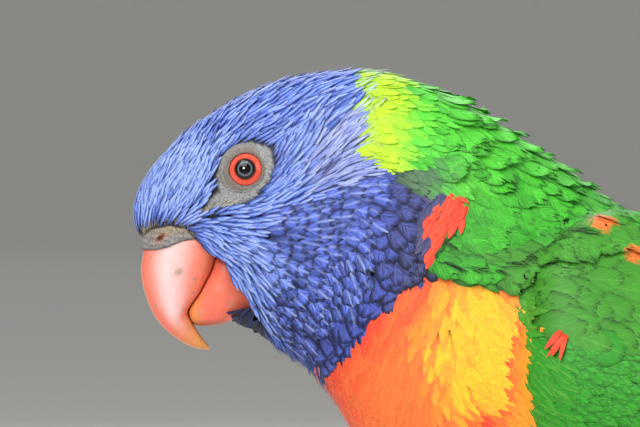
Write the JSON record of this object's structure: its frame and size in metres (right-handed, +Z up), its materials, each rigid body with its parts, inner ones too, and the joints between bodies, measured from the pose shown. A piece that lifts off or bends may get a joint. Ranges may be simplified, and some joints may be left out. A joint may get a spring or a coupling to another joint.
{
  "type": "rainbow lorikeet",
  "caption": "Life-size still model of a rainbow lorikeet standing on both feet, head lowered and looking down, wings folded, long pointed tail held just clear of the floor.",
  "frame": {"origin": "on the floor, at the middle of the bird's plan, under its breast and rump", "axes": "+Z up; the bird faces -Y and +X is its left side"},
  "size_m": [0.0626, 0.2896, 0.1179],
  "materials": {
    "plumage_blue": "narrow violet-blue feathers with pale shafts over dark bases",
    "plumage_collar": "soft yellow-green feathers",
    "plumage_breast": "broad orange-red and yellow feathers",
    "plumage_green": "bright green feathers",
    "bill_horn": "satin orange-red horn, yellower at the tip",
    "cere_skin": "bare grey skin",
    "eye": "wet, orange-red iris and black pupil",
    "foot_skin": "grey scaled skin",
    "claw_horn": "dark satin horn"
  },
  "bodies": {
    "root": {"head": "plumage_blue", "cere": "cere_skin", "upper_bill": "bill_horn", "lower_bill": "bill_horn", "eye_left": "eye", "eye_right": "eye", "neck": "plumage_collar", "torso": "plumage_breast", "wing_left": "plumage_green", "wing_right": "plumage_green", "tail": "plumage_green", "thigh_left": "plumage_green", "thigh_right": "plumage_green", "foot_left": "foot_skin", "foot_right": "foot_skin", "claw_inner_front_left": "claw_horn", "claw_inner_front_right": "claw_horn", "claw_outer_front_left": "claw_horn", "claw_outer_front_right": "claw_horn", "claw_outer_back_left": "claw_horn", "claw_outer_back_right": "claw_horn", "claw_inner_back_left": "claw_horn", "claw_inner_back_right": "claw_horn"}
  },
  "joints": []
}
